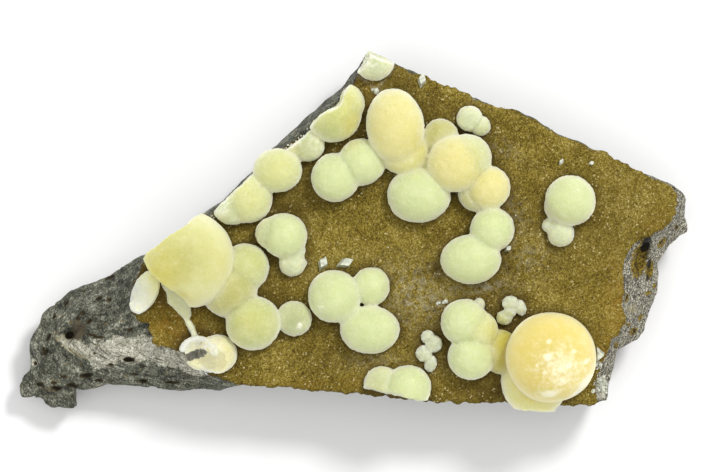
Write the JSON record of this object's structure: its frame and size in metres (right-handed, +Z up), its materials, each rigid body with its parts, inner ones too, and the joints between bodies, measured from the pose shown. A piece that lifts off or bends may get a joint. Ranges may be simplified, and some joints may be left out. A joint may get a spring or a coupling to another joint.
{
  "type": "calcite specimen on basalt",
  "caption": "Waxy yellow-green calcite balls grown on the brown-lined face of a fractured slab of basalt, a natural display specimen that lies with its crystals up.",
  "frame": {"origin": "centre of the bounding box in X and Y, on the ground under the slab's broken back", "axes": "+X along the slab towards its blunt end, +Y across it towards its peak, +Z up, the way the crystals face"},
  "size_m": [0.0906, 0.048, 0.0266],
  "materials": {
    "basalt": null,
    "lining": "olive-brown sparkling crust of tiny crystals",
    "calcite_green": "translucent pale yellow-green calcite with a sugary waxy skin",
    "calcite_yellow": "translucent yellow calcite with a sugary waxy skin",
    "calcite_orange": "translucent orange-yellow calcite with a smooth waxy skin and white patches",
    "calcite_white": "white to pale yellow broken calcite"
  },
  "bodies": {
    "root": {"basalt_slab": "basalt", "brown_lining": "lining", "left_ball_cluster": "calcite_yellow", "broken_half_ball": "calcite_white", "broken_lower_left_ball": "calcite_white", "broken_sliver": "calcite_green", "lobed_ball": "calcite_green", "upper_left_edge_balls": "calcite_yellow", "upper_ball_cluster": "calcite_yellow", "centre_ball_cluster": "calcite_green", "bottom_edge_balls": "calcite_green", "lower_right_cluster": "calcite_orange", "right_pair": "calcite_green", "top_right_pair": "calcite_green", "top_corner_half_ball": "calcite_white", "small_balls_left": "calcite_green", "small_balls_right": "calcite_green", "top_crystal": "calcite_white", "pointed_crystal": "calcite_white", "long_crystal": "calcite_white", "edge_crystal": "calcite_white", "right_crystal": "calcite_white", "small_crystal": "calcite_white", "far_crystal": "calcite_white"}
  },
  "joints": []
}
